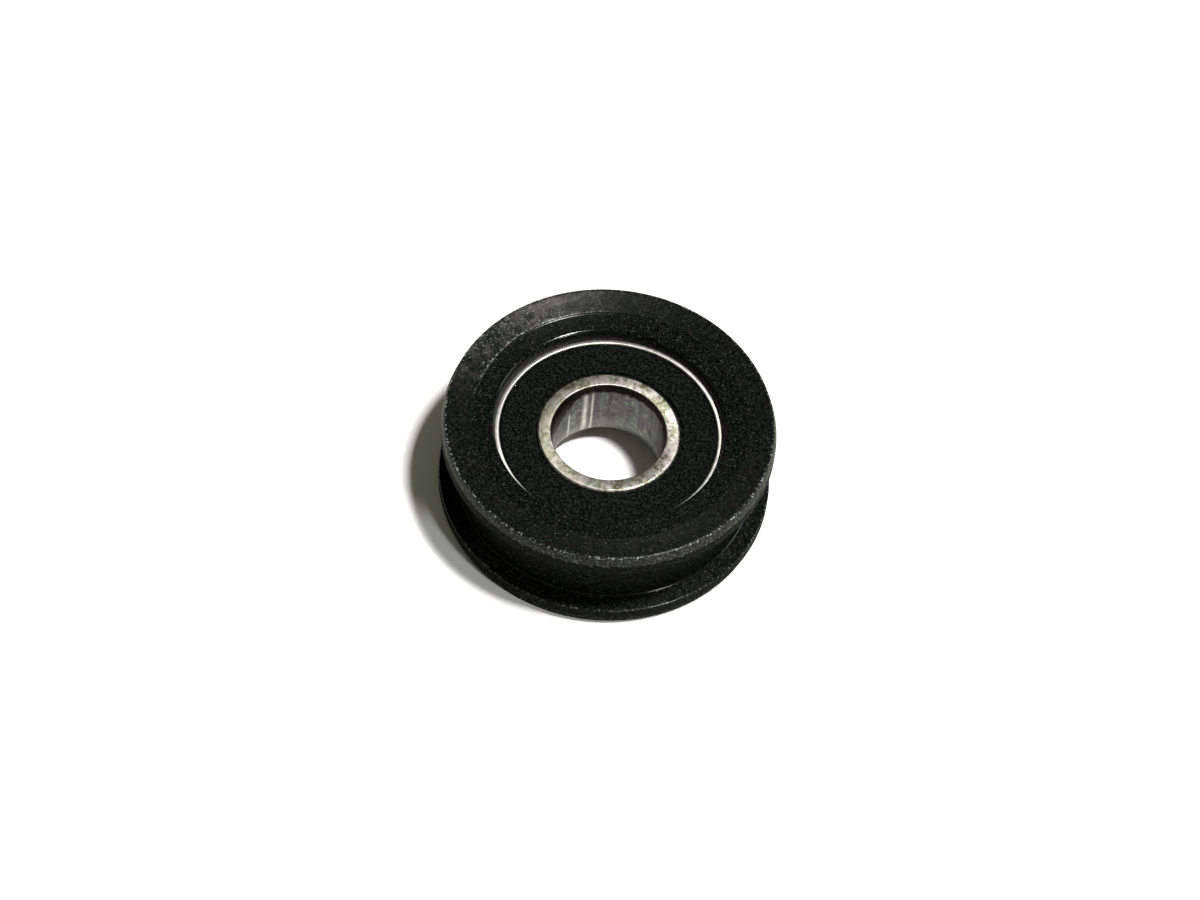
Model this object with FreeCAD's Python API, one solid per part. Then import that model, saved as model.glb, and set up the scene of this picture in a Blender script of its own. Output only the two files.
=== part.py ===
import FreeCAD, Part
import math
import os

# Flanged idler pulley: a black moulded body with a flat belt track between two
# flanges, moulded round a sealed ball bearing that turns on a bolt or shaft.
# Millimetres. The origin is the middle of the bore and +Z runs along its axis.

# Ball bearing: rings and balls
BORE = 19.05
BEARING_WIDTH = 12.7
BALL_DIAMETER = 6.35
BALL_COUNT = 9
BALL_CLEARANCE = 0.02
RACE_OVERSIZE = 0.127
RACE_DEPTH = 1.42
INNER_RING_WALL = 2.36125
OUTER_RING_WALL = 2.36125
SHOULDER_BELOW_FACE = 1.75
SHOULDER_ROUNDING = 0.2
BORE_LEAD_IN = 0.4
BORE_LEAD_IN_LENGTH = 1.75
BORE_EDGE_ROUNDING = 0.2
OUTER_RING_CHAMFER = 0.8
FACE_EDGE_CHAMFER = 0.15

# Pressed ribbon cage with its rivets
CAGE_SHEET = 0.6
CAGE_WIDTH = 2.4
CAGE_POCKET_CLEARANCE = 0.1
CAGE_BEND = 0.35
RIVET_SHANK_DIAMETER = 1.1
RIVET_HEAD_OVERHANG = 0.4
RIVET_HEAD_HEIGHT = 0.45

# Rubber seals with their steel inserts
SEAL_LAND_ABOVE_RACE = 0.284
SEAL_SEAT_ABOVE_RACE = 0.384
SEAL_RECESS = 0.3
SEAL_SKIN = 0.6
SEAL_GROOVE_DEPTH = 0.3
SEAL_GROOVE_WIDTH = 0.7
SEAL_GROOVE_BELOW_FACE = 0.75
SEAL_EDGE_BEVEL = 0.4
SEAL_RELIEF_WIDTH = 0.6
SEAL_RELIEF_DEPTH = 0.45
SEAL_LIP_CLEARANCE = 0.06
SEAL_LIP_HEIGHT = 0.4
SEAL_LIP_REACH = 0.55
SEAL_LIP_THICKNESS = 1.1
INSERT_SHEET = 0.35
INSERT_BEND_HEIGHT = 0.7
INSERT_EDGE_INSET = 0.8

# Moulded pulley body
BODY_WALL = 4.7625
TRACK_WIDTH = 11.45
TRACK_CORNER = 0.5
FLANGE_HEIGHT = 3.175
FLANGE_THICKNESS = 3.8
FLANGE_INNER_EDGE = 0.3
RIM_BEVEL_IN = 0.55
RIM_BEVEL_DOWN = 1.8
RIM_BEVEL_EDGE = 0.15
RIM_LAND = 1.3
FACE_DISH = 0.3
FACE_STEP = 0.7
FACE_INSIDE_WIDTH = 3.76
LIP_OVER_RING = 1.2775
RECESS_TAPER = 0.45
RECESS_EDGE_ROUNDING = 0.3
STEP_ROUNDING = 0.15

ORIGIN = FreeCAD.Vector(0, 0, 0)
AXIS = FreeCAD.Vector(0, 0, 1)

ball_radius = BALL_DIAMETER / 2
race_radius = ball_radius + RACE_OVERSIZE
bore_radius = BORE / 2
inner_race = bore_radius + INNER_RING_WALL
pitch_radius = inner_race + BALL_CLEARANCE + ball_radius
outer_race = pitch_radius + ball_radius + BALL_CLEARANCE
ring_radius = outer_race + OUTER_RING_WALL
inner_shoulder = inner_race + RACE_DEPTH
outer_shoulder = outer_race - RACE_DEPTH
ring_face = BEARING_WIDTH / 2
shoulder_height = ring_face - SHOULDER_BELOW_FACE
seal_land = inner_race + SEAL_LAND_ABOVE_RACE
seal_seat = outer_race + SEAL_SEAT_ABOVE_RACE
seal_bead = seal_seat + SEAL_GROOVE_DEPTH
groove_top = ring_face - SEAL_GROOVE_BELOW_FACE
groove_floor = groove_top - SEAL_GROOVE_WIDTH
ball_step = 360 / BALL_COUNT


def line(start, end):
    """A straight edge, or none where the two points are the same."""
    return [] if start.distanceToPoint(end) < 1e-6 else [Part.makeLine(start, end)]


def outline(corners):
    """Edges through corners given as (radius, height) or (radius, height, rounding)."""
    points = [FreeCAD.Vector(corner[0], 0, corner[1]) for corner in corners]
    edges = []
    start = points[0]
    for before, corner, here, after in zip(points, corners[1:], points[1:], points[2:]):
        if len(corner) == 2:
            edges += line(start, here)
            start = here
            continue
        back = before - here
        ahead = after - here
        half_turn = back.getAngle(ahead) / 2
        room = 0.45 * min(back.Length, ahead.Length)
        setback = min(corner[2] / math.tan(half_turn), room)
        radius = setback * math.tan(half_turn)
        back.normalize()
        ahead.normalize()
        middle = back + ahead
        middle.normalize()
        arc_start = here + back * setback
        arc_middle = here + middle * (radius / math.sin(half_turn) - radius)
        arc_end = here + ahead * setback
        edges += line(start, arc_start)
        edges.append(Part.Arc(arc_start, arc_middle, arc_end).toShape())
        start = arc_end
    return edges + line(start, points[-1])


def turned(edges):
    """The solid that closed edges in the XZ plane sweep in one turn about the axis."""
    wire = Part.Wire(Part.__sortEdges__(edges))
    solid = Part.Face(wire).revolve(ORIGIN, AXIS, 360)
    return Part.Solid(solid) if solid.ShapeType != "Solid" else solid


def turned_pair(half):
    """A turned solid that is alike above and below the middle plane."""
    return turned(half + [edge.mirror(ORIGIN, AXIS) for edge in half])


def race_arc(race, shoulder):
    """Half of a raceway's arc, from its deepest point up to the shoulder beside it."""
    outward = 1 if shoulder > race else -1
    centre = race + outward * race_radius
    reach = abs(centre - shoulder)
    height = math.sqrt(race_radius ** 2 - reach ** 2)
    half_sweep = math.acos(reach / race_radius) / 2
    start = FreeCAD.Vector(race, 0, 0)
    middle = FreeCAD.Vector(centre - outward * race_radius * math.cos(half_sweep), 0,
                            race_radius * math.sin(half_sweep))
    end = FreeCAD.Vector(shoulder, 0, height)
    return Part.Arc(start, middle, end).toShape(), end


def inner_ring():
    """Ground steel ring with a bore that opens out at both ends, a raceway and two seal lands."""
    race, race_end = race_arc(inner_race, inner_shoulder)
    return turned_pair([race] + outline([
        (race_end.x, race_end.z),
        (inner_shoulder, shoulder_height, SHOULDER_ROUNDING),
        (seal_land, shoulder_height, SHOULDER_ROUNDING),
        (seal_land, ring_face - FACE_EDGE_CHAMFER),
        (seal_land - FACE_EDGE_CHAMFER, ring_face),
        (bore_radius + BORE_LEAD_IN, ring_face, BORE_EDGE_ROUNDING),
        (bore_radius, ring_face - BORE_LEAD_IN_LENGTH),
        (bore_radius, 0),
    ]))


def outer_ring():
    """Ground steel ring with the outer raceway and a groove on each side for the seal's bead."""
    race, race_end = race_arc(outer_race, outer_shoulder)
    return turned_pair([race] + outline([
        (race_end.x, race_end.z),
        (outer_shoulder, shoulder_height, SHOULDER_ROUNDING),
        (seal_seat, shoulder_height),
        (seal_seat, groove_floor),
        (seal_bead, groove_floor),
        (seal_bead, groove_top),
        (seal_seat, groove_top),
        (seal_seat, ring_face - FACE_EDGE_CHAMFER),
        (seal_seat + FACE_EDGE_CHAMFER, ring_face),
        (ring_radius - OUTER_RING_CHAMFER, ring_face),
        (ring_radius, ring_face - OUTER_RING_CHAMFER),
        (ring_radius, 0),
    ]))


def ring_blank(height):
    """The annulus that the cage is trimmed to, from the middle plane up."""
    outer = Part.makeCylinder(pitch_radius + CAGE_WIDTH / 2, height)
    return outer.cut(Part.makeCylinder(pitch_radius - CAGE_WIDTH / 2, height))


def bulge(dome, bend, foot_height):
    """A dome over the axis that flares out with a bend radius to a flat at foot_height."""
    bend_height = foot_height + bend
    bend_radius = math.sqrt((dome + bend) ** 2 - bend_height ** 2)
    share = dome / (dome + bend)
    bend_centre = FreeCAD.Vector(bend_radius, 0, bend_height)
    touch = bend_centre * share
    crown = FreeCAD.Vector(0, 0, dome)
    foot = FreeCAD.Vector(bend_radius, 0, foot_height)
    dome_middle = crown + touch
    dome_middle.normalize()
    bend_middle = foot + touch - bend_centre * 2
    bend_middle.normalize()
    edges = [
        Part.Arc(crown, dome_middle * dome, touch).toShape(),
        Part.Arc(touch, bend_centre + bend_middle * bend, foot).toShape(),
    ]
    return turned(edges + line(foot, FreeCAD.Vector(bend_radius, 0, 0))
                  + line(FreeCAD.Vector(bend_radius, 0, 0), ORIGIN) + line(ORIGIN, crown))


def on_pitch_circle(solid, turns):
    """A solid made about the axis, moved out to the pitch circle and turned by ball spacings."""
    solid.translate(FreeCAD.Vector(pitch_radius, 0, 0))
    solid.rotate(ORIGIN, AXIS, turns * ball_step)
    return solid


def cage_half():
    """Upper half of the pressed ribbon cage: flats for the rivets and a pocket over each ball."""
    pocket = ball_radius + CAGE_POCKET_CLEARANCE
    dome = pocket + CAGE_SHEET
    outsides = []
    insides = []
    for number in range(BALL_COUNT):
        outside = on_pitch_circle(bulge(dome, CAGE_BEND, CAGE_SHEET), number)
        outsides.append(ring_blank(dome).common(outside))
        insides.append(on_pitch_circle(bulge(pocket, CAGE_BEND + CAGE_SHEET, 0), number))
        hole = Part.makeCylinder(RIVET_SHANK_DIAMETER / 2, CAGE_SHEET)
        insides.append(on_pitch_circle(hole, number + 0.5))
    return ring_blank(CAGE_SHEET).multiFuse(outsides).cut(insides).removeSplitter().Solids[0]


def rivet(turns):
    """A rivet through both halves of the cage, with a domed head at each end."""
    shank = RIVET_SHANK_DIAMETER / 2
    head = shank + RIVET_HEAD_OVERHANG
    crown = FreeCAD.Vector(0, 0, CAGE_SHEET + RIVET_HEAD_HEIGHT)
    edge = FreeCAD.Vector(head, 0, CAGE_SHEET)
    half_angle = math.atan(RIVET_HEAD_HEIGHT / head)
    dome_radius = head / math.sin(2 * half_angle)
    middle = FreeCAD.Vector(dome_radius * math.sin(half_angle), 0,
                            crown.z - dome_radius * (1 - math.cos(half_angle)))
    half = [Part.Arc(crown, middle, edge).toShape()]
    half += outline([(head, CAGE_SHEET), (shank, CAGE_SHEET), (shank, 0)])
    edges = half + [item.mirror(ORIGIN, AXIS) for item in half]
    edges.append(Part.makeLine(crown, FreeCAD.Vector(0, 0, -crown.z)))
    return on_pitch_circle(turned(edges), turns)


def seal():
    """Upper rubber seal: flat skin over its insert, bead at the rim, relief and lip at the land."""
    skin_top = ring_face - SEAL_RECESS
    skin_bottom = skin_top - SEAL_SKIN
    lip = seal_land + SEAL_LIP_CLEARANCE
    lip_back = lip + SEAL_LIP_THICKNESS
    lip_tip = skin_bottom - SEAL_LIP_REACH
    insert_edge = seal_seat - INSERT_EDGE_INSET
    relief = lip + SEAL_RELIEF_WIDTH
    relief_floor = skin_top - SEAL_RELIEF_DEPTH
    corners = [
        (relief, skin_top),
        (seal_seat - SEAL_EDGE_BEVEL, skin_top),
        (seal_seat, skin_top - SEAL_EDGE_BEVEL),
        (seal_seat, groove_top),
        (seal_bead, groove_top),
        (seal_bead, groove_floor),
        (insert_edge, groove_floor),
        (insert_edge, skin_bottom),
        (lip_back, skin_bottom),
        (lip_back, lip_tip),
        (lip + SEAL_LIP_CLEARANCE, lip_tip),
        (lip, lip_tip + SEAL_LIP_HEIGHT),
        (lip, relief_floor),
        (relief, relief_floor),
        (relief, skin_top),
    ]
    return turned(outline(corners))


def seal_insert():
    """Upper steel washer that stiffens the seal, with its rim bent down inside the bead."""
    top = ring_face - SEAL_RECESS - SEAL_SKIN
    inside = seal_land + SEAL_LIP_CLEARANCE + SEAL_LIP_THICKNESS
    outside = seal_seat - INSERT_EDGE_INSET
    corners = [
        (inside, top),
        (outside, top),
        (outside, top - INSERT_BEND_HEIGHT),
        (outside - INSERT_SHEET, top - INSERT_BEND_HEIGHT),
        (outside - INSERT_SHEET, top - INSERT_SHEET, INSERT_SHEET / 2),
        (inside, top - INSERT_SHEET),
        (inside, top),
    ]
    return turned(outline(corners))


def pulley_body():
    """Black moulded body: bearing seat with a lip each side, stepped faces, flanges and track."""
    track = ring_radius + BODY_WALL
    rim = track + FLANGE_HEIGHT
    flange_inside = TRACK_WIDTH / 2
    face = flange_inside + FLANGE_THICKNESS
    dish_bottom = face - FACE_DISH
    inside_face = dish_bottom - FACE_STEP
    lip = ring_radius - LIP_OVER_RING
    recess = lip + RECESS_TAPER
    step_radius = recess + FACE_INSIDE_WIDTH
    return turned_pair(outline([
        (ring_radius, 0),
        (ring_radius, ring_face - OUTER_RING_CHAMFER),
        (ring_radius - OUTER_RING_CHAMFER, ring_face),
        (lip, ring_face),
        (recess, inside_face, RECESS_EDGE_ROUNDING),
        (step_radius - FACE_STEP, inside_face, STEP_ROUNDING),
        (step_radius, dish_bottom, STEP_ROUNDING),
        (rim - RIM_BEVEL_IN - RIM_LAND, face),
        (rim - RIM_BEVEL_IN, face, RIM_BEVEL_EDGE),
        (rim, face - RIM_BEVEL_DOWN, RIM_BEVEL_EDGE),
        (rim, flange_inside, FLANGE_INNER_EDGE),
        (track, flange_inside, TRACK_CORNER),
        (track, 0),
    ]))


def under(solid):
    """The same piece on the underside."""
    return solid.mirror(ORIGIN, AXIS)


pieces = {
    "inner_ring": inner_ring(),
    "outer_ring": outer_ring(),
    "pulley_body": pulley_body(),
    "seal_top": seal(),
    "seal_bottom": under(seal()),
    "seal_insert_top": seal_insert(),
    "seal_insert_bottom": under(seal_insert()),
    "cage_top": cage_half(),
    "cage_bottom": under(cage_half()),
}
for number in range(BALL_COUNT):
    pieces[f"ball_{number + 1}"] = on_pitch_circle(Part.makeSphere(ball_radius), number)
    pieces[f"cage_rivet_{number + 1}"] = rivet(number + 0.5)

os.makedirs("parts", exist_ok=True)
for name, piece in pieces.items():
    piece.exportStep(f"parts/{name}.step")
    box = piece.optimalBoundingBox(False)
    print(f"{name}: {piece.ShapeType}, {len(piece.Solids)} solid, volume {piece.Volume:.1f} mm3, "
          f"{box.XLength:.2f} x {box.YLength:.2f} x {box.ZLength:.2f} mm, valid {piece.isValid()}")
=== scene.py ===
import bmesh
import bpy
import math
from mathutils import Matrix, Vector


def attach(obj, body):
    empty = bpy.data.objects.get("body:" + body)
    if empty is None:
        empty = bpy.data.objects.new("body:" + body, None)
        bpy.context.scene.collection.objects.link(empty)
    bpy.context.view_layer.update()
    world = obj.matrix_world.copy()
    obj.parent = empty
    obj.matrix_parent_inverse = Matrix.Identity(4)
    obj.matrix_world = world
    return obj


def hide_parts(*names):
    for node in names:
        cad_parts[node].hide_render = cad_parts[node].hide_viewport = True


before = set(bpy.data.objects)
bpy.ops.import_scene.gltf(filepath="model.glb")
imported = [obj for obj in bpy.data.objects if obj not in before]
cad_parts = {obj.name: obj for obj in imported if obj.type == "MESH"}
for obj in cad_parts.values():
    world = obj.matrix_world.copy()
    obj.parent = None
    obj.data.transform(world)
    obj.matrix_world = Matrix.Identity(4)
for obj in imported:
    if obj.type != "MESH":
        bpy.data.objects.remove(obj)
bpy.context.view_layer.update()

# Inner ring of the ball bearing: hardened bearing steel, turned, then ground on both faces, in
# the bore and in the raceway. It is clamped on the bolt and stands still. Sizes are millimetres,
# and a corner of a section is (radius, height) or (radius, height, rounding).
MM = 0.001
RACE_RADIUS = 3.302
RACE_HALF_WIDTH = 2.712
INNER_RACE = 11.88625
INNER_SHOULDER = 13.30625
SHOULDER_HEIGHT = 4.6
SHOULDER_ROUNDING = 0.2
RING_FACE = 6.35
SEAL_LAND = 12.17025
INNER_RING_CHAMFER = 0.25
RING_EDGE_ROUNDING = 0.05
BORE_RADIUS = 9.525
BORE_LEAD_IN = 0.4
BORE_LEAD_IN_LENGTH = 1.75
BORE_EDGE_ROUNDING = 0.14
BORE_BEND_ROUNDING = 0.3
TURN_STEPS = 256
RACE_STEPS = 14
ROUNDING_STEPS = 4
SAME_POINT = 1e-7


class Shade:
    """One output in a node tree. Sums and products of outputs add Math nodes."""

    def __init__(self, tree, socket=None):
        self.tree = tree
        self.socket = socket

    def node(self, kind, settings, sockets, output=0):
        """A node of a kind, with its settings made first and then its sockets' values or links."""
        made = self.tree.nodes.new(kind)
        for name, value in settings.items():
            if name == "stops":
                ramp = made.color_ramp.elements
                while len(ramp) < len(value):
                    ramp.new(0.5)
                for stop, (position, colour) in zip(ramp, value):
                    stop.position = position
                    stop.color = (*colour, 1)
            else:
                setattr(made, name, value)
        for name, value in sockets.items():
            if isinstance(value, Shade):
                self.tree.links.new(value.socket, made.inputs[name])
            else:
                made.inputs[name].default_value = value
        if isinstance(output, tuple):
            return [Shade(self.tree, made.outputs[name]) for name in output]
        return Shade(self.tree, made.outputs[output]) if output is not None else None

    def maths(self, operation, first, second=0.0):
        return self.node("ShaderNodeMath", {"operation": operation}, {0: first, 1: second})

    def __add__(self, other):
        return self.maths("ADD", self, other)

    def __radd__(self, other):
        return self.maths("ADD", other, self)

    def __sub__(self, other):
        return self.maths("SUBTRACT", self, other)

    def __rsub__(self, other):
        return self.maths("SUBTRACT", other, self)

    def __mul__(self, other):
        return self.maths("MULTIPLY", self, other)

    def __rmul__(self, other):
        return self.maths("MULTIPLY", other, self)

    def __pow__(self, other):
        return self.maths("POWER", self, other)

    def __abs__(self):
        return self.maths("ABSOLUTE", self)


def new_finish(name):
    """An empty material, and the place of its points on the object."""
    finish = bpy.data.materials.new(name)
    finish.use_nodes = True
    finish.node_tree.nodes.clear()
    return finish, Shade(finish.node_tree).node("ShaderNodeTexCoord", {}, {}, "Object")


def along(place, *axes):
    """A place's coordinates along the named axes."""
    output = axes if len(axes) > 1 else axes[0]
    return place.node("ShaderNodeSeparateXYZ", {}, {"Vector": place}, output)


def from_axis(place):
    """Distance of a place from the pulley's axis."""
    x, y = along(place, "X", "Y")
    return (x * x + y * y) ** 0.5


def round_axis(place):
    """Angle of a place round the pulley's axis, in radians."""
    x, y = along(place, "X", "Y")
    return place.maths("ARCTAN2", y, x)


def stretched(place, scales):
    """A place with each of its coordinates multiplied by its own scale."""
    return place.node("ShaderNodeVectorMath", {"operation": "MULTIPLY"}, {0: place, 1: scales})


def grain(place, size, detail=2.0, lift=0.5):
    """Even noise with features of a size in millimetres."""
    return place.node("ShaderNodeTexNoise", {}, {
        "Vector": place, "Scale": 1 / (size * MM), "Detail": detail, "Roughness": lift}, "Fac")


def tool_marks(place, width, drift):
    """Rings left by a turning tool or grinding wheel, a width apart and drifting round the axis."""
    fine = 1 / (width * MM)
    slow = 1 / (drift * MM)
    return place.node("ShaderNodeTexNoise", {"noise_dimensions": "4D"}, {
        "Vector": stretched(place, (slow, slow, fine)), "W": from_axis(place) * fine,
        "Scale": 1.0, "Detail": 3.0, "Roughness": 0.6}, "Fac")


def spread(signal, low, high, start=0.0, end=1.0):
    """A signal stretched from start..end to low..high and held there."""
    return signal.node("ShaderNodeMapRange", {"clamp": True}, {
        "Value": signal, "From Min": start, "From Max": end, "To Min": low, "To Max": high})


def blend(mask, first, second):
    """A colour between two, by a mask."""
    return mask.node("ShaderNodeMix", {"data_type": "RGBA"}, {0: mask, 6: first, 7: second}, 2)


def close_finish(place, surface, relief, depth):
    """The surface shader with a relief of a depth in millimetres, and the material's output."""
    bumps = place.node("ShaderNodeBump", {}, {
        "Height": relief, "Distance": depth * MM, "Strength": 1.0}, "Normal")
    shader = place.node("ShaderNodeBsdfPrincipled", {}, {**surface, "Normal": bumps})
    place.node("ShaderNodeOutputMaterial", {}, {"Surface": shader}, None)


def turned(name, corners, race=None, side=0):
    """A ring swept once round the axis. A race is (centre, bottom), the radii of an arc that
    comes before the corners. With side 0 the section is mirrored, else it is closed, on that side."""
    ring = bmesh.new()
    chain = []
    if race:
        centre, bottom = race
        first = ring.verts.new((bottom * MM, 0, 0))
        reach = bottom - centre
        sweep = math.asin(RACE_HALF_WIDTH / abs(reach))
        bmesh.ops.spin(ring, geom=[first], cent=(centre * MM, 0, 0), axis=(0, 1, 0),
                       angle=sweep if reach < 0 else -sweep, steps=RACE_STEPS)
        ring.verts.ensure_lookup_table()
        chain.append(ring.verts[-1])
    rounded = []
    for corner in corners:
        height = corner[1] * (side or 1)
        chain.append(ring.verts.new((corner[0] * MM, 0, height * MM)))
        if len(corner) == 3:
            rounded.append((chain[-1], corner[2]))
    for here, after in zip(chain, chain[1:]):
        ring.edges.new((here, after))
    if side:
        ring.edges.new((chain[-1], chain[0]))
    for vertex, rounding in rounded:
        bmesh.ops.bevel(ring, geom=[vertex], offset=rounding * MM, offset_type="OFFSET",
                        segments=ROUNDING_STEPS, profile=0.5, affect="VERTICES", material=-1)
    if not side:
        bmesh.ops.mirror(ring, geom=ring.verts[:] + ring.edges[:], matrix=Matrix.Identity(4),
                         merge_dist=SAME_POINT, axis="Z")
    bmesh.ops.remove_doubles(ring, verts=ring.verts[:], dist=SAME_POINT)
    bmesh.ops.spin(ring, geom=ring.verts[:] + ring.edges[:], cent=(0, 0, 0), axis=(0, 0, 1),
                   angle=2 * math.pi, steps=TURN_STEPS, use_merge=True)
    bmesh.ops.remove_doubles(ring, verts=ring.verts[:], dist=SAME_POINT)
    bmesh.ops.recalc_face_normals(ring, faces=ring.faces[:])
    for face in ring.faces:
        face.smooth = True
    mesh = bpy.data.meshes.new(name)
    ring.to_mesh(mesh)
    ring.free()
    piece = bpy.data.objects.new(name, mesh)
    bpy.context.scene.collection.objects.link(piece)
    piece.modifiers.new("even_shading", "WEIGHTED_NORMAL").weight = 100
    return piece


inner_ring = turned("inner_ring_ground", [
    (INNER_SHOULDER, SHOULDER_HEIGHT, SHOULDER_ROUNDING),
    (SEAL_LAND, SHOULDER_HEIGHT, SHOULDER_ROUNDING),
    (SEAL_LAND, RING_FACE - INNER_RING_CHAMFER, RING_EDGE_ROUNDING),
    (SEAL_LAND - INNER_RING_CHAMFER, RING_FACE, RING_EDGE_ROUNDING),
    (BORE_RADIUS + BORE_LEAD_IN, RING_FACE, BORE_EDGE_ROUNDING),
    (BORE_RADIUS, RING_FACE - BORE_LEAD_IN_LENGTH, BORE_BEND_ROUNDING),
    (BORE_RADIUS, 0),
], race=(INNER_RACE + RACE_RADIUS, INNER_RACE))

# Ground faces of both rings: mottled with old stains, with more bright patches towards the right of
# the inner ring and a darker colour towards its left. The outer ring, further from the axis, is
# coloured brighter.
BETWEEN_RINGS = 17.0

ground_steel, place = new_finish("ground_bearing_steel")
x = along(place, "X")
mottle = grain(place, 0.75, 3.0, 0.6)
stain = place.node("ShaderNodeValToRGB", {"stops": [
    (0.37, (0.28, 0.25, 0.16)),
    (0.42, (0.44, 0.45, 0.29)),
    (0.48, (0.36, 0.42, 0.35)),
    (0.52, (0.60, 0.45, 0.43)),
    (0.57, (0.58, 0.59, 0.48)),
    (0.63, (0.66, 0.54, 0.57)),
]}, {"Fac": grain(place, 2.0, 2.0, 0.6)}, "Color")
# More bright patches towards the right of the inner ring, and a darker colour towards its left.
bright_patches_to_right = spread(mottle, 0.0, 1.0, 0.46, 0.66) * spread(x, 0.35, 0.90, -12 * MM, 4 * MM)
darker_to_left = spread(x, 0.5, 0.0, -12 * MM, -3 * MM)
dark_spots = spread(mottle, 0.5, 0.0, 0.32, 0.42)
on_outer_ring = spread(from_axis(place), 0.0, 0.7,
                       (BETWEEN_RINGS - 0.5) * MM, (BETWEEN_RINGS + 0.5) * MM)
steel_colour = blend(bright_patches_to_right, stain, (0.84, 0.82, 0.77, 1))
steel_colour = blend(darker_to_left, steel_colour, (0.20, 0.18, 0.13, 1))
steel_colour = blend(dark_spots, steel_colour, (0.10, 0.10, 0.07, 1))
close_finish(place, {
    "Base Color": blend(on_outer_ring, steel_colour, (0.95, 0.93, 0.90, 1)),
    "Metallic": 1.0,
    "Roughness": spread(mottle, 0.44, 0.58, 0.25, 0.75),
    "Anisotropic": 0.45,
}, tool_marks(place, 0.12, 6.0) * 0.4 + mottle * 0.6, 0.008)

# Wall of the bore: honed lengthwise, with a dark brown band in the upper lead-in that reaches lower
# on the left, three painted highlight streaks that are also smoother, and a painted reflection that
# lightens it towards the bottom. Angles are degrees round the axis.
DARK_BAND_TOP = RING_FACE - 1.6
DARK_BAND_BOTTOM = 0.2
DARK_BAND_FROM = 124
DARK_BAND_TO = 160

honed_bore, place = new_finish("honed_bore_steel")
height = along(place, "Z")
angle = round_axis(place)
honing = grain(stretched(place, (0.9, 0.9, 0.035)), 1.0, 3.0, 0.6)
bore_stain = grain(place, 1.0, 3.0, 0.65)
# A dark brown band in the upper lead-in, reaching lower on the left.
dark_band_depth = (spread(angle, DARK_BAND_TOP, DARK_BAND_BOTTOM,
                        math.radians(DARK_BAND_FROM), math.radians(DARK_BAND_TO))
                 + (bore_stain - 0.5) * 1.6)
dark_band = (spread(height * (1 / MM) - dark_band_depth, 0.0, 1.0, -0.2, 0.2)
           * spread(height, 0.93, 0.0, (RING_FACE - 0.35) * MM, (RING_FACE - 0.12) * MM))


def highlight_streak(azimuth, half_width, upper_end):
    """A mask of one painted highlight streak, strongest in its middle, that fades out at its upper
    end.
    """
    aside = abs(angle - math.radians(azimuth))
    return (spread(aside, 1.0, 0.0, 0.0, math.radians(half_width))
            * spread(height, 1.0, 0.0, (upper_end - 1.0) * MM, upper_end * MM))


# Three painted highlight streaks: a near-white colour, and a smoother surface there.
polish_and_painted_highlight = ((highlight_streak(118, 4.2, 5.0) + highlight_streak(110, 1.8, 5.0) + highlight_streak(137, 1.8, 1.5))
              * spread(bore_stain, 0.7, 1.1, 0.4, 0.6))
bore_colour = place.node("ShaderNodeValToRGB", {"stops": [
    (0.38, (0.115, 0.120, 0.125)),
    (0.46, (0.210, 0.180, 0.215)),
    (0.53, (0.190, 0.215, 0.200)),
    (0.64, (0.400, 0.400, 0.390)),
]}, {"Fac": honing * 0.35 + bore_stain * 0.65}, "Color")
# Painted reflection: the wall's colour is lightened towards the bottom, where it mirrors the bright
# table.
bore_colour = blend(spread(height, 0.45, 0.0, -6.5 * MM, -2.0 * MM), bore_colour,
                    (0.60, 0.61, 0.59, 1))
bore_colour = blend(polish_and_painted_highlight, bore_colour, (0.98, 0.98, 0.96, 1))
close_finish(place, {
    "Base Color": blend(dark_band, bore_colour, (0.016, 0.012, 0.005, 1)),
    "Metallic": 1.0,
    "Roughness": spread(honing, 0.42, 0.34, 0.3, 0.7) - polish_and_painted_highlight * 0.13,
    "Anisotropic": 0.7,
    "Anisotropic Rotation": 0.25,
}, honing, 0.005)
inner_ring.data.materials.append(ground_steel)
inner_ring.data.materials.append(honed_bore)
for face in inner_ring.data.polygons:
    if face.center.xy.length < (BORE_RADIUS + BORE_LEAD_IN) * MM and abs(face.normal.z) < 0.5:
        face.material_index = 1
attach(inner_ring, "inner_race")
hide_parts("inner_ring")

# Outer ring of the bearing: the same ground steel, held in the moulded body and turning with it.
# Its face shows as a thin bright line between the body's lip and the seal.
OUTER_RACE = 18.27625
OUTER_SHOULDER = 16.85625
RING_RADIUS = 20.6375
SEAL_SEAT = 18.66025
SEAL_BEAD = 18.96025
GROOVE_TOP = 5.6
GROOVE_FLOOR = 4.9
SEAT_CHAMFER = 0.15
OUTER_RING_CHAMFER = 0.8

outer_ring = turned("outer_ring_ground", [
    (OUTER_SHOULDER, SHOULDER_HEIGHT, SHOULDER_ROUNDING),
    (SEAL_SEAT, SHOULDER_HEIGHT),
    (SEAL_SEAT, GROOVE_FLOOR),
    (SEAL_BEAD, GROOVE_FLOOR),
    (SEAL_BEAD, GROOVE_TOP),
    (SEAL_SEAT, GROOVE_TOP),
    (SEAL_SEAT, RING_FACE - SEAT_CHAMFER, RING_EDGE_ROUNDING),
    (SEAL_SEAT + SEAT_CHAMFER, RING_FACE, RING_EDGE_ROUNDING),
    (RING_RADIUS - OUTER_RING_CHAMFER, RING_FACE),
    (RING_RADIUS, RING_FACE - OUTER_RING_CHAMFER),
    (RING_RADIUS, 0),
], race=(OUTER_RACE - RACE_RADIUS, OUTER_RACE))
outer_ring.data.materials.append(ground_steel)
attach(outer_ring, "pulley")
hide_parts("outer_ring")


# Nine balls of through-hardened chrome steel, lapped to a mirror. They run between the two
# raceways and each spins in its own pocket of the cage.
def finish_node(name, finish):
    """Gives a piece that keeps its own solid a finish."""
    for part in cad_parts[name].material_slots:
        part.material = finish


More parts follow.
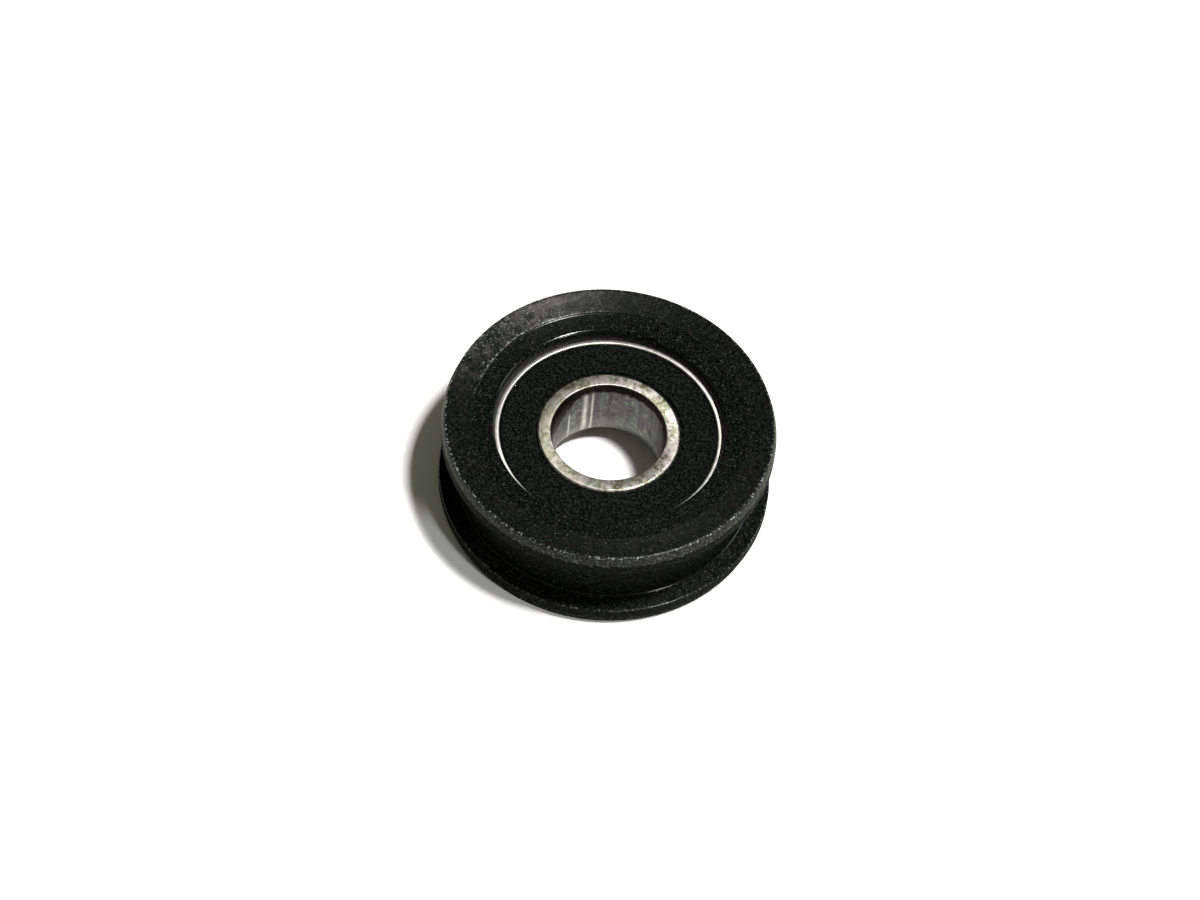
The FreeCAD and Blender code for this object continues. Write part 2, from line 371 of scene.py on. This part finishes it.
polished_steel, place = new_finish("lapped_ball_steel")
film = grain(place, 1.4)
close_finish(place, {
    "Base Color": blend(film, (0.70, 0.70, 0.71, 1), (0.80, 0.80, 0.80, 1)),
    "Metallic": 1.0,
    "Roughness": spread(film, 0.06, 0.14, 0.3, 0.7),
}, film, 0.0005)
for number in range(1, 10):
    finish_node(f"ball_{number}", polished_steel)

# Ribbon cage of two halves pressed from steel strip, with a pocket over each ball, joined by
# nine small steel rivets headed over at both ends.
strip_steel, place = new_finish("pressed_strip_steel")
oil_stain = grain(place, 2.2, 3.0, 0.6)
close_finish(place, {
    "Base Color": blend(oil_stain, (0.40, 0.38, 0.34, 1), (0.62, 0.61, 0.58, 1)),
    "Metallic": 1.0,
    "Roughness": spread(oil_stain, 0.28, 0.5, 0.3, 0.7),
}, tool_marks(place, 0.25, 2.5) * 0.6 + oil_stain * 0.4, 0.006)
finish_node("cage_top", strip_steel)
finish_node("cage_bottom", strip_steel)

rivet_steel, place = new_finish("headed_rivet_steel")
hammering = grain(place, 0.35, 2.0, 0.6)
close_finish(place, {
    "Base Color": blend(hammering, (0.44, 0.42, 0.39, 1), (0.66, 0.64, 0.60, 1)),
    "Metallic": 1.0,
    "Roughness": spread(hammering, 0.25, 0.45, 0.3, 0.7),
}, hammering, 0.008)
for number in range(1, 10):
    finish_node(f"cage_rivet_{number}", rivet_steel)

# Steel insert washers, one bonded behind the rubber of each seal to keep it flat. They are
# stamped from sheet, so their faces are unevenly dulled.
sheet_steel, place = new_finish("stamped_insert_sheet")
stamping = grain(place, 1.1, 3.0, 0.6)
close_finish(place, {
    "Base Color": blend(stamping, (0.38, 0.38, 0.38, 1), (0.56, 0.56, 0.55, 1)),
    "Metallic": 1.0,
    "Roughness": spread(stamping, 0.35, 0.55, 0.3, 0.7),
}, stamping, 0.005)
finish_node("seal_insert_top", sheet_steel)
finish_node("seal_insert_bottom", sheet_steel)

# Seals: black nitrile rubber moulded over the insert, with a bead that snaps into the outer
# ring's groove and a lip that runs on the inner ring's land. The rubber is matt and slightly dusty.
SKIN_TOP = 6.05
SKIN_BOTTOM = 5.45
SKIN_ROUNDING = 0.12
SEAL_EDGE_BEVEL = 0.4
SEAL_EDGE_ROUNDING = 0.04
LIP = 12.23025
LIP_BACK = 13.33025
LIP_TIP = 4.9
LIP_BEVEL_IN = 0.06
LIP_BEVEL_UP = 0.4
LIP_ROUNDING = 0.1
LIP_BEND_ROUNDING = 0.05
RELIEF = 12.83025
RELIEF_FLOOR = 5.6
RELIEF_ROUNDING = 0.06
INSERT_EDGE = 17.86025

seal_rubber, place = new_finish("moulded_seal_rubber")
pores = grain(place, 0.22, 3.0, 0.6)
dust = spread(grain(place, 0.5, 3.0, 0.7), 0.0, 1.0, 0.46, 0.62)
close_finish(place, {
    "Base Color": blend(dust, (0.0003, 0.0009, 0.0004, 1), (0.0120, 0.0150, 0.0122, 1)),
    "Roughness": spread(grain(place, 4.0), 0.56, 0.70, 0.3, 0.7),
    "Specular IOR Level": 0.04,
}, pores * 0.5 + tool_marks(place, 0.3, 14.0) * 0.5, 0.012)
for name, side in (("top", 1), ("bottom", -1)):
    seal = turned(f"rubber_seal_{name}", [
        (RELIEF, SKIN_TOP, SKIN_ROUNDING),
        (SEAL_SEAT - SEAL_EDGE_BEVEL, SKIN_TOP, SKIN_ROUNDING),
        (SEAL_SEAT, SKIN_TOP - SEAL_EDGE_BEVEL, SEAL_EDGE_ROUNDING),
        (SEAL_SEAT, GROOVE_TOP),
        (SEAL_BEAD, GROOVE_TOP),
        (SEAL_BEAD, GROOVE_FLOOR),
        (INSERT_EDGE, GROOVE_FLOOR),
        (INSERT_EDGE, SKIN_BOTTOM),
        (LIP_BACK, SKIN_BOTTOM),
        (LIP_BACK, LIP_TIP, LIP_ROUNDING),
        (LIP + LIP_BEVEL_IN, LIP_TIP, LIP_ROUNDING),
        (LIP, LIP_TIP + LIP_BEVEL_UP, LIP_BEND_ROUNDING),
        (LIP, RELIEF_FLOOR, RELIEF_ROUNDING),
        (RELIEF, RELIEF_FLOOR, RELIEF_ROUNDING),
    ], side=side)
    seal.data.materials.append(seal_rubber)
    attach(seal, "pulley")
    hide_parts(f"seal_{name}")

# Pulley body: one moulding of black glass-filled nylon, moulded round the outer ring and then
# turned on the outer part of both faces, on the rims and in the track. The turned part of a face
# dishes slightly and keeps fine tool marks; the moulded part inside the step is smoother.
TRACK_RADIUS = 25.4
TRACK_CORNER = 0.5
RIM_RADIUS = 28.575
RIM_BEVEL_IN = 0.55
RIM_BEVEL_DOWN = 1.8
RIM_ROUNDING = 0.12
FACE = 9.525
FLANGE_INSIDE = 5.725
FLANGE_INNER_EDGE = 0.3
DISH_EDGE = 27.575
DISH_EDGE_ROUNDING = 0.1
DISH_BEND = (25.7, 9.14)
DISH_BEND_ROUNDING = 1.2
STEP_RADIUS = 23.57
STEP_WIDTH = 0.25
STEP_TOP = 8.93
STEP_ROUNDING = 0.07
INSIDE_FACE = 8.525
BODY_LIP = 19.36
RECESS = 19.81
RECESS_ROUNDING = 0.45

body = turned("moulded_pulley_body", [
    (RING_RADIUS, 0),
    (RING_RADIUS, RING_FACE - OUTER_RING_CHAMFER),
    (RING_RADIUS - OUTER_RING_CHAMFER, RING_FACE),
    (BODY_LIP, RING_FACE),
    (RECESS, INSIDE_FACE, RECESS_ROUNDING),
    (STEP_RADIUS - STEP_WIDTH, INSIDE_FACE),
    (STEP_RADIUS, STEP_TOP, STEP_ROUNDING),
    (*DISH_BEND, DISH_BEND_ROUNDING),
    (DISH_EDGE, FACE, DISH_EDGE_ROUNDING),
    (RIM_RADIUS - RIM_BEVEL_IN, FACE, RIM_ROUNDING),
    (RIM_RADIUS, FACE - RIM_BEVEL_DOWN, RIM_ROUNDING),
    (RIM_RADIUS, FLANGE_INSIDE, FLANGE_INNER_EDGE),
    (TRACK_RADIUS, FLANGE_INSIDE, TRACK_CORNER),
    (TRACK_RADIUS, 0),
])

# Black nylon of the body: grainy, glossier on its roundings and rubbed bright on the rim. On one
# side of the upper face it is scuffed glossier and carries a painted grey sheen, painted sparkle
# and a painted glint along the step. The track and all upright walls are duller.
SCUFF_SHEEN_AZIMUTH = 132
SCUFF_SHEEN_WHOLE = 16
SCUFF_SHEEN_END = 42


def near_edge(radius, level, edge_radius, edge_height):
    """1 on an edge of the body, fading to 0 a short way from it."""
    across = radius - edge_radius * MM
    upward = level - edge_height * MM
    return spread((across * across + upward * upward) ** 0.5, 1.0, 0.0, 0.08 * MM, 0.34 * MM)


def black_nylon(name, roughness, specular):
    """Black nylon of a roughness and a specular level, with its wear, painted sheen and painted
    glints.
    """
    nylon, place = new_finish(name)
    radius = from_axis(place)
    height = along(place, "Z")
    level = abs(height)
    skin = grain(place, 0.45)
    grit = grain(place, 0.40)
    patches = grain(place, 2.0, 4.0, 0.7)

    turned_face = (spread(radius, 0.0, 1.0, (STEP_RADIUS - 0.07) * MM, STEP_RADIUS * MM)
                   * spread(level, 0.0, 1.0, (STEP_TOP - 0.3) * MM, (STEP_TOP - 0.1) * MM))
    # The sector is scuffed glossier, and its colour carries a painted sheen and painted sparkle.
    from_sector_middle = abs(round_axis(place) - math.radians(SCUFF_SHEEN_AZIMUTH))
    scuff_and_sheen = (spread(from_sector_middle, 1.0, 0.0, math.radians(SCUFF_SHEEN_WHOLE), math.radians(SCUFF_SHEEN_END))
               * turned_face * spread(height, 0.0, 1.0, 0.0, 1.0 * MM))
    on_bevel = (spread(radius, 0.0, 1.0, (RIM_RADIUS - 0.62) * MM, (RIM_RADIUS - 0.56) * MM)
                * spread(level, 0.0, 1.0, (FACE - 1.95) * MM, (FACE - RIM_BEVEL_DOWN) * MM))
    at_recess = spread(radius, 1.0, 0.0, (RECESS + 0.5) * MM, (RECESS + 0.7) * MM)
    at_track = (spread(radius, 1.0, 0.0, (TRACK_RADIUS + 0.5) * MM, (TRACK_RADIUS + 0.7) * MM)
                * spread(level, 1.0, 0.0, (FLANGE_INSIDE + 0.3) * MM, (FLANGE_INSIDE + 0.6) * MM))
    on_rim = (near_edge(radius, level, RIM_RADIUS - RIM_BEVEL_IN - 0.02, FACE)
              + near_edge(radius, level, RIM_RADIUS, FLANGE_INSIDE) * 0.35 + on_bevel * 0.3)
    # Painted glint along the step's edge, in the sector only.
    step_glint = scuff_and_sheen * near_edge(radius, level, STEP_RADIUS, STEP_TOP)
    # Bright dots: real wear on the rim, painted sparkle in the sector, and the painted glint on the
    # step.
    rubbed_and_glints = (on_rim * spread(grit, 0.0, 0.9, 0.55, 0.64)
              + step_glint * spread(grit, 0.0, 0.8, 0.53, 0.60)
              + scuff_and_sheen * spread(grit, 0.0, 0.5, 0.62, 0.70))
    # Painted sheen: a purple-grey lightening of the colour in the sector.
    painted_sheen = scuff_and_sheen * spread(patches, 0.0, 0.5, 0.40, 0.62) * spread(skin, 0.5, 1.4, 0.38, 0.62)

    tinted = blend(spread(patches, 0.0, 1.0, 0.44, 0.58), (0.0066, 0.0096, 0.0070, 1),
                   (0.0086, 0.0078, 0.0074, 1))
    colour = blend(spread(skin, 0.0, 1.0, 0.42, 0.62), (0.0003, 0.0008, 0.0004, 1), tinted)
    colour = blend(spread(grit, 0.0, 1.0, 0.60, 0.72), colour, (0.038, 0.042, 0.040, 1))
    colour = blend(painted_sheen, colour, (0.085, 0.080, 0.085, 1))
    close_finish(place, {
        "Base Color": blend(rubbed_and_glints, colour, (0.28, 0.29, 0.29, 1)),
        "Roughness": (turned_face * 0.12 - scuff_and_sheen * 0.04 + on_bevel * 0.12
                      - (at_recess + at_track) * 0.07
                      + spread(grit, 0.05, -0.05, 0.35, 0.65)
                      + spread(patches, roughness - 0.02, roughness + 0.04, 0.35, 0.65)),
        "Specular IOR Level": specular,
        "Anisotropic": 0.5,
        "Anisotropic Rotation": 0.25,
    }, tool_marks(place, 0.16, 9.0) * turned_face * 0.2 + skin * 0.8, 0.012)
    return nylon


body.data.materials.append(black_nylon("black_moulded_nylon", 0.22, 0.30))
body.data.materials.append(black_nylon("belt_dulled_nylon", 0.50, 0.035))
for face in body.data.polygons:
    upright = abs(face.normal.z) < 0.25
    in_groove = abs(face.center.z) < (FLANGE_INSIDE + 0.05) * MM and abs(face.normal.z) > 0.97
    resting_edge = (face.center.z < (RIM_BEVEL_DOWN - FACE) * MM
                    and face.center.xy.length > (RIM_RADIUS - 0.6) * MM)
    if upright or in_groove or resting_edge:
        face.material_index = 1
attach(body, "pulley")
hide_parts("pulley_body")

# Table: a plain pale sheet that the loose pulley lies on, on its flange face. The camera and
# glass see it white; elsewhere it keeps a pale colour, and the pulley's shadow falls on it.
TABLE_RADIUS = 0.5
TABLE_SEGMENTS = 96
TABLE_GAP = 0.01

table_mesh = bmesh.new()
bmesh.ops.create_circle(table_mesh, cap_ends=True, segments=TABLE_SEGMENTS, radius=TABLE_RADIUS)
bmesh.ops.translate(table_mesh, verts=table_mesh.verts[:], vec=(0, 0, -(FACE + TABLE_GAP) * MM))
mesh = bpy.data.meshes.new("table")
table_mesh.to_mesh(mesh)
table_mesh.free()
table = bpy.data.objects.new("table", mesh)
bpy.context.scene.collection.objects.link(table)


def looking_rays(place):
    """Three masks: of rays from the camera, off gloss, and through glass."""
    return place.node("ShaderNodeLightPath", {}, {}, (
        "Is Camera Ray", "Is Glossy Ray", "Is Transmission Ray"))


table_sheet, place = new_finish("pale_table_sheet")
camera_ray, glossy_ray, clear_ray = looking_rays(place)
seen = spread(camera_ray + clear_ray + glossy_ray * 0.2, 0.0, 1.0)
pale = blend(grain(place, 3.0), (0.46, 0.47, 0.39, 1), (0.49, 0.50, 0.42, 1))
shader = place.node("ShaderNodeBsdfPrincipled", {}, {
    "Base Color": blend(seen, pale, (1.0, 1.0, 1.0, 1)),
    "Roughness": 1.0,
    "Specular IOR Level": 0.0,
})
place.node("ShaderNodeOutputMaterial", {}, {"Surface": shader}, None)
table.data.materials.append(table_sheet)


# Studio: a soft lamp high on the right throws the short shadow to the left, a wide, weak one low on
# the right lifts the edges there, and a small one in front lights the rim. The room stays dim.
def lamp(name, azimuth, elevation, distance, width, power, colour):
    """A square soft lamp that points at the pulley; angles are degrees, lengths metres."""
    light = bpy.data.lights.new(name, "AREA")
    light.size = width
    light.energy = power
    light.color = colour
    lamp_object = bpy.data.objects.new(name, light)
    turn = math.radians(azimuth)
    rise = math.radians(elevation)
    outward = Vector((math.cos(rise) * math.cos(turn), math.cos(rise) * math.sin(turn),
                      math.sin(rise)))
    lamp_object.location = outward * distance
    lamp_object.rotation_euler = outward.to_track_quat("Z", "Y").to_euler()
    lamp_object.visible_camera = False
    bpy.context.scene.collection.objects.link(lamp_object)


lamp("key_lamp", -8, 72, 2.5, 0.30, 78, (1.0, 0.99, 0.97))
lamp("side_lamp", 12, 25, 1.4, 0.5, 3.2, (0.95, 0.98, 1.0))
lamp("front_lamp", 315, 35, 1.5, 0.2, 8.0, (1.0, 1.0, 0.98))

world = bpy.data.worlds.new("plain_room")
world.use_nodes = True
world.node_tree.nodes.clear()
look = Shade(world.node_tree).node("ShaderNodeTexCoord", {}, {}, "Generated")
upward = along(look, "Z")
camera_ray, glossy_ray, clear_ray = looking_rays(look)
shown = spread(camera_ray + clear_ray, 0.0, 1.0)
mirrored = glossy_ray * spread(upward, 0.40, 0.02, 0.0, 0.18)
lighting = spread(shown + glossy_ray, 1.0, 0.0) * spread(upward, 0.02, 0.17)
background = look.node("ShaderNodeBackground", {}, {
    "Color": blend(shown, (1.0, 1.02, 0.76, 1), (1.0, 1.0, 1.0, 1)),
    "Strength": shown + mirrored + lighting})
look.node("ShaderNodeOutputWorld", {}, {"Surface": background}, None)
bpy.context.scene.world = world

# Camera: looks down at the pulley from in front, slightly rolled, as the photograph was taken.
# It stands 0.75 m off, and its lens is worked out from the scale in a 1200 by 900 picture.
ELEVATION = math.radians(54.879)
ROLL = math.radians(6.049)
DISTANCE = 0.75
AIM = Vector((-1.1402 * MM, 7.2186 * MM, -FACE * MM))
PICTURE_WIDTH = 1200
FOCAL_PIXELS = 4306.6
SENSOR_WIDTH = 36.0

view_direction = Vector((0, math.cos(ELEVATION), -math.sin(ELEVATION)))
level_right = Vector((1, 0, 0))
level_up = Vector((0, math.sin(ELEVATION), math.cos(ELEVATION)))
picture_right = level_right * math.cos(ROLL) + level_up * math.sin(ROLL)
picture_up = level_up * math.cos(ROLL) - level_right * math.sin(ROLL)
lens = bpy.data.cameras.new("photo_camera")
lens.sensor_fit = "HORIZONTAL"
lens.sensor_width = SENSOR_WIDTH
lens.lens = FOCAL_PIXELS * SENSOR_WIDTH / PICTURE_WIDTH
lens.clip_start = 0.01
lens.clip_end = 10
camera = bpy.data.objects.new("photo_camera", lens)
stand = Matrix((picture_right, picture_up, -view_direction)).transposed().to_4x4()
stand.translation = AIM - view_direction * DISTANCE
camera.matrix_world = stand
bpy.context.scene.collection.objects.link(camera)
bpy.context.scene.camera = camera
bpy.context.scene.view_settings.view_transform = "Standard"
